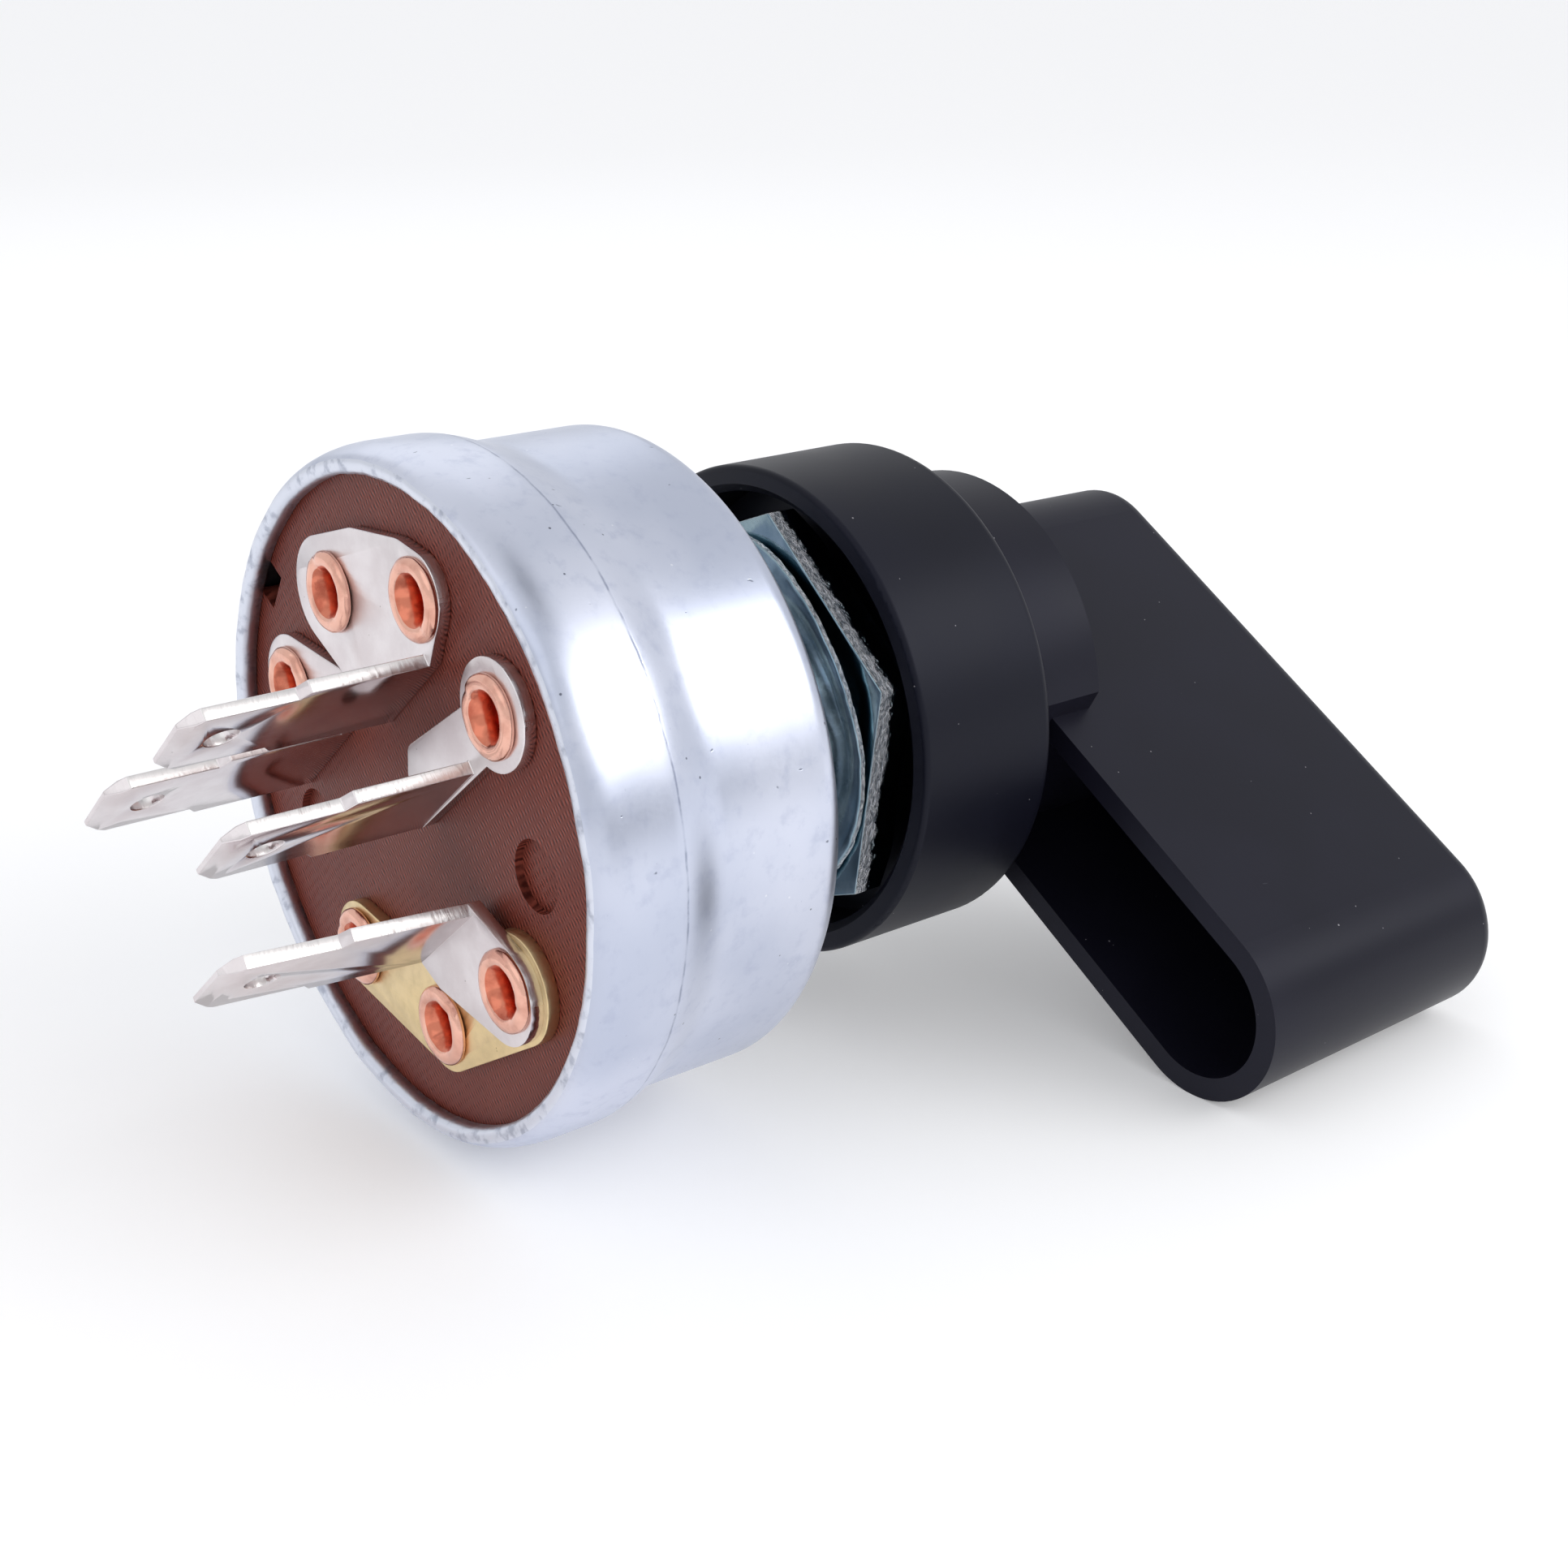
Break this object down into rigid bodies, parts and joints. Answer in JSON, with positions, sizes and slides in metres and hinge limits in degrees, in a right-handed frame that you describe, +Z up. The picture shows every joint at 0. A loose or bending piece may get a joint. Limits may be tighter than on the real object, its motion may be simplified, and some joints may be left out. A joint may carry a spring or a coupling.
{
  "type": "rotary lever switch",
  "caption": "Panel-mounted rotary lever switch: zinc-plated can, threaded bush with nut and bezel ring, black lever, terminal board with blade terminals.",
  "frame": {"origin": "on the shaft axis, on the front face of the thickest panel it fits; the can's front face is 6.6 mm behind it", "axes": "+Y along the shaft towards the terminals, -Y towards the lever, +Z up; at rest the lever points to -X and slightly down"},
  "size_m": [0.0527, 0.0776, 0.0421],
  "materials": {
    "zinc_plate": "blue-white zinc plate, satin",
    "nut_steel": "bright zinc, sheared edges",
    "bush_steel": "turned, zinc plated",
    "black_ring": "moulded, matte",
    "black_lever": "moulded, fine texture",
    "phenolic": "red-brown canvas laminate",
    "inner_phenolic": "dark brown moulding",
    "nickel": "nickel-plated strip",
    "brass_strip": "rolled brass",
    "copper": "copper plated",
    "machined": "turned steel"
  },
  "bodies": {
    "housing": {"can_housing": "zinc_plate", "spacer_ring": "inner_phenolic", "threaded_bush": "bush_steel", "wave_washer": "nut_steel", "hex_nut": "nut_steel", "bezel_ring": "black_ring", "base_board": "phenolic", "terminal_upper": "nickel", "terminal_left": "nickel", "terminal_right": "nickel", "terminal_feed": "nickel", "jumper_plate": "brass_strip", "contact_eyelets": "copper", "thrust_washer": "machined", "detent_plate": "machined"},
    "lever": {"lever_knob": "black_lever", "grub_screw": "machined", "shaft": "machined", "shaft_circlip": "machined", "rotor": "inner_phenolic", "detent_spring": "machined", "contact_spring": "machined"},
    "ball": {"detent_ball": "machined"},
    "contact": {"contact_disc": "brass_strip"}
  },
  "joints": [
    {"name": "lever_turn", "type": "hinge", "parent": "housing", "child": "lever", "pos_m": [0, 0, 0], "axis": [0, 1, 0], "range_deg": [0, 80]},
    {"name": "ball_index", "type": "slide", "parent": "lever", "child": "ball", "axis": [0, -1, 0], "range_m": [0, 0.0004], "deforming": ["detent_spring"]},
    {"name": "disc_float", "type": "slide", "parent": "lever", "child": "contact", "axis": [0, -1, 0], "range_m": [0, 0.0006], "deforming": ["contact_spring"]}
  ]
}
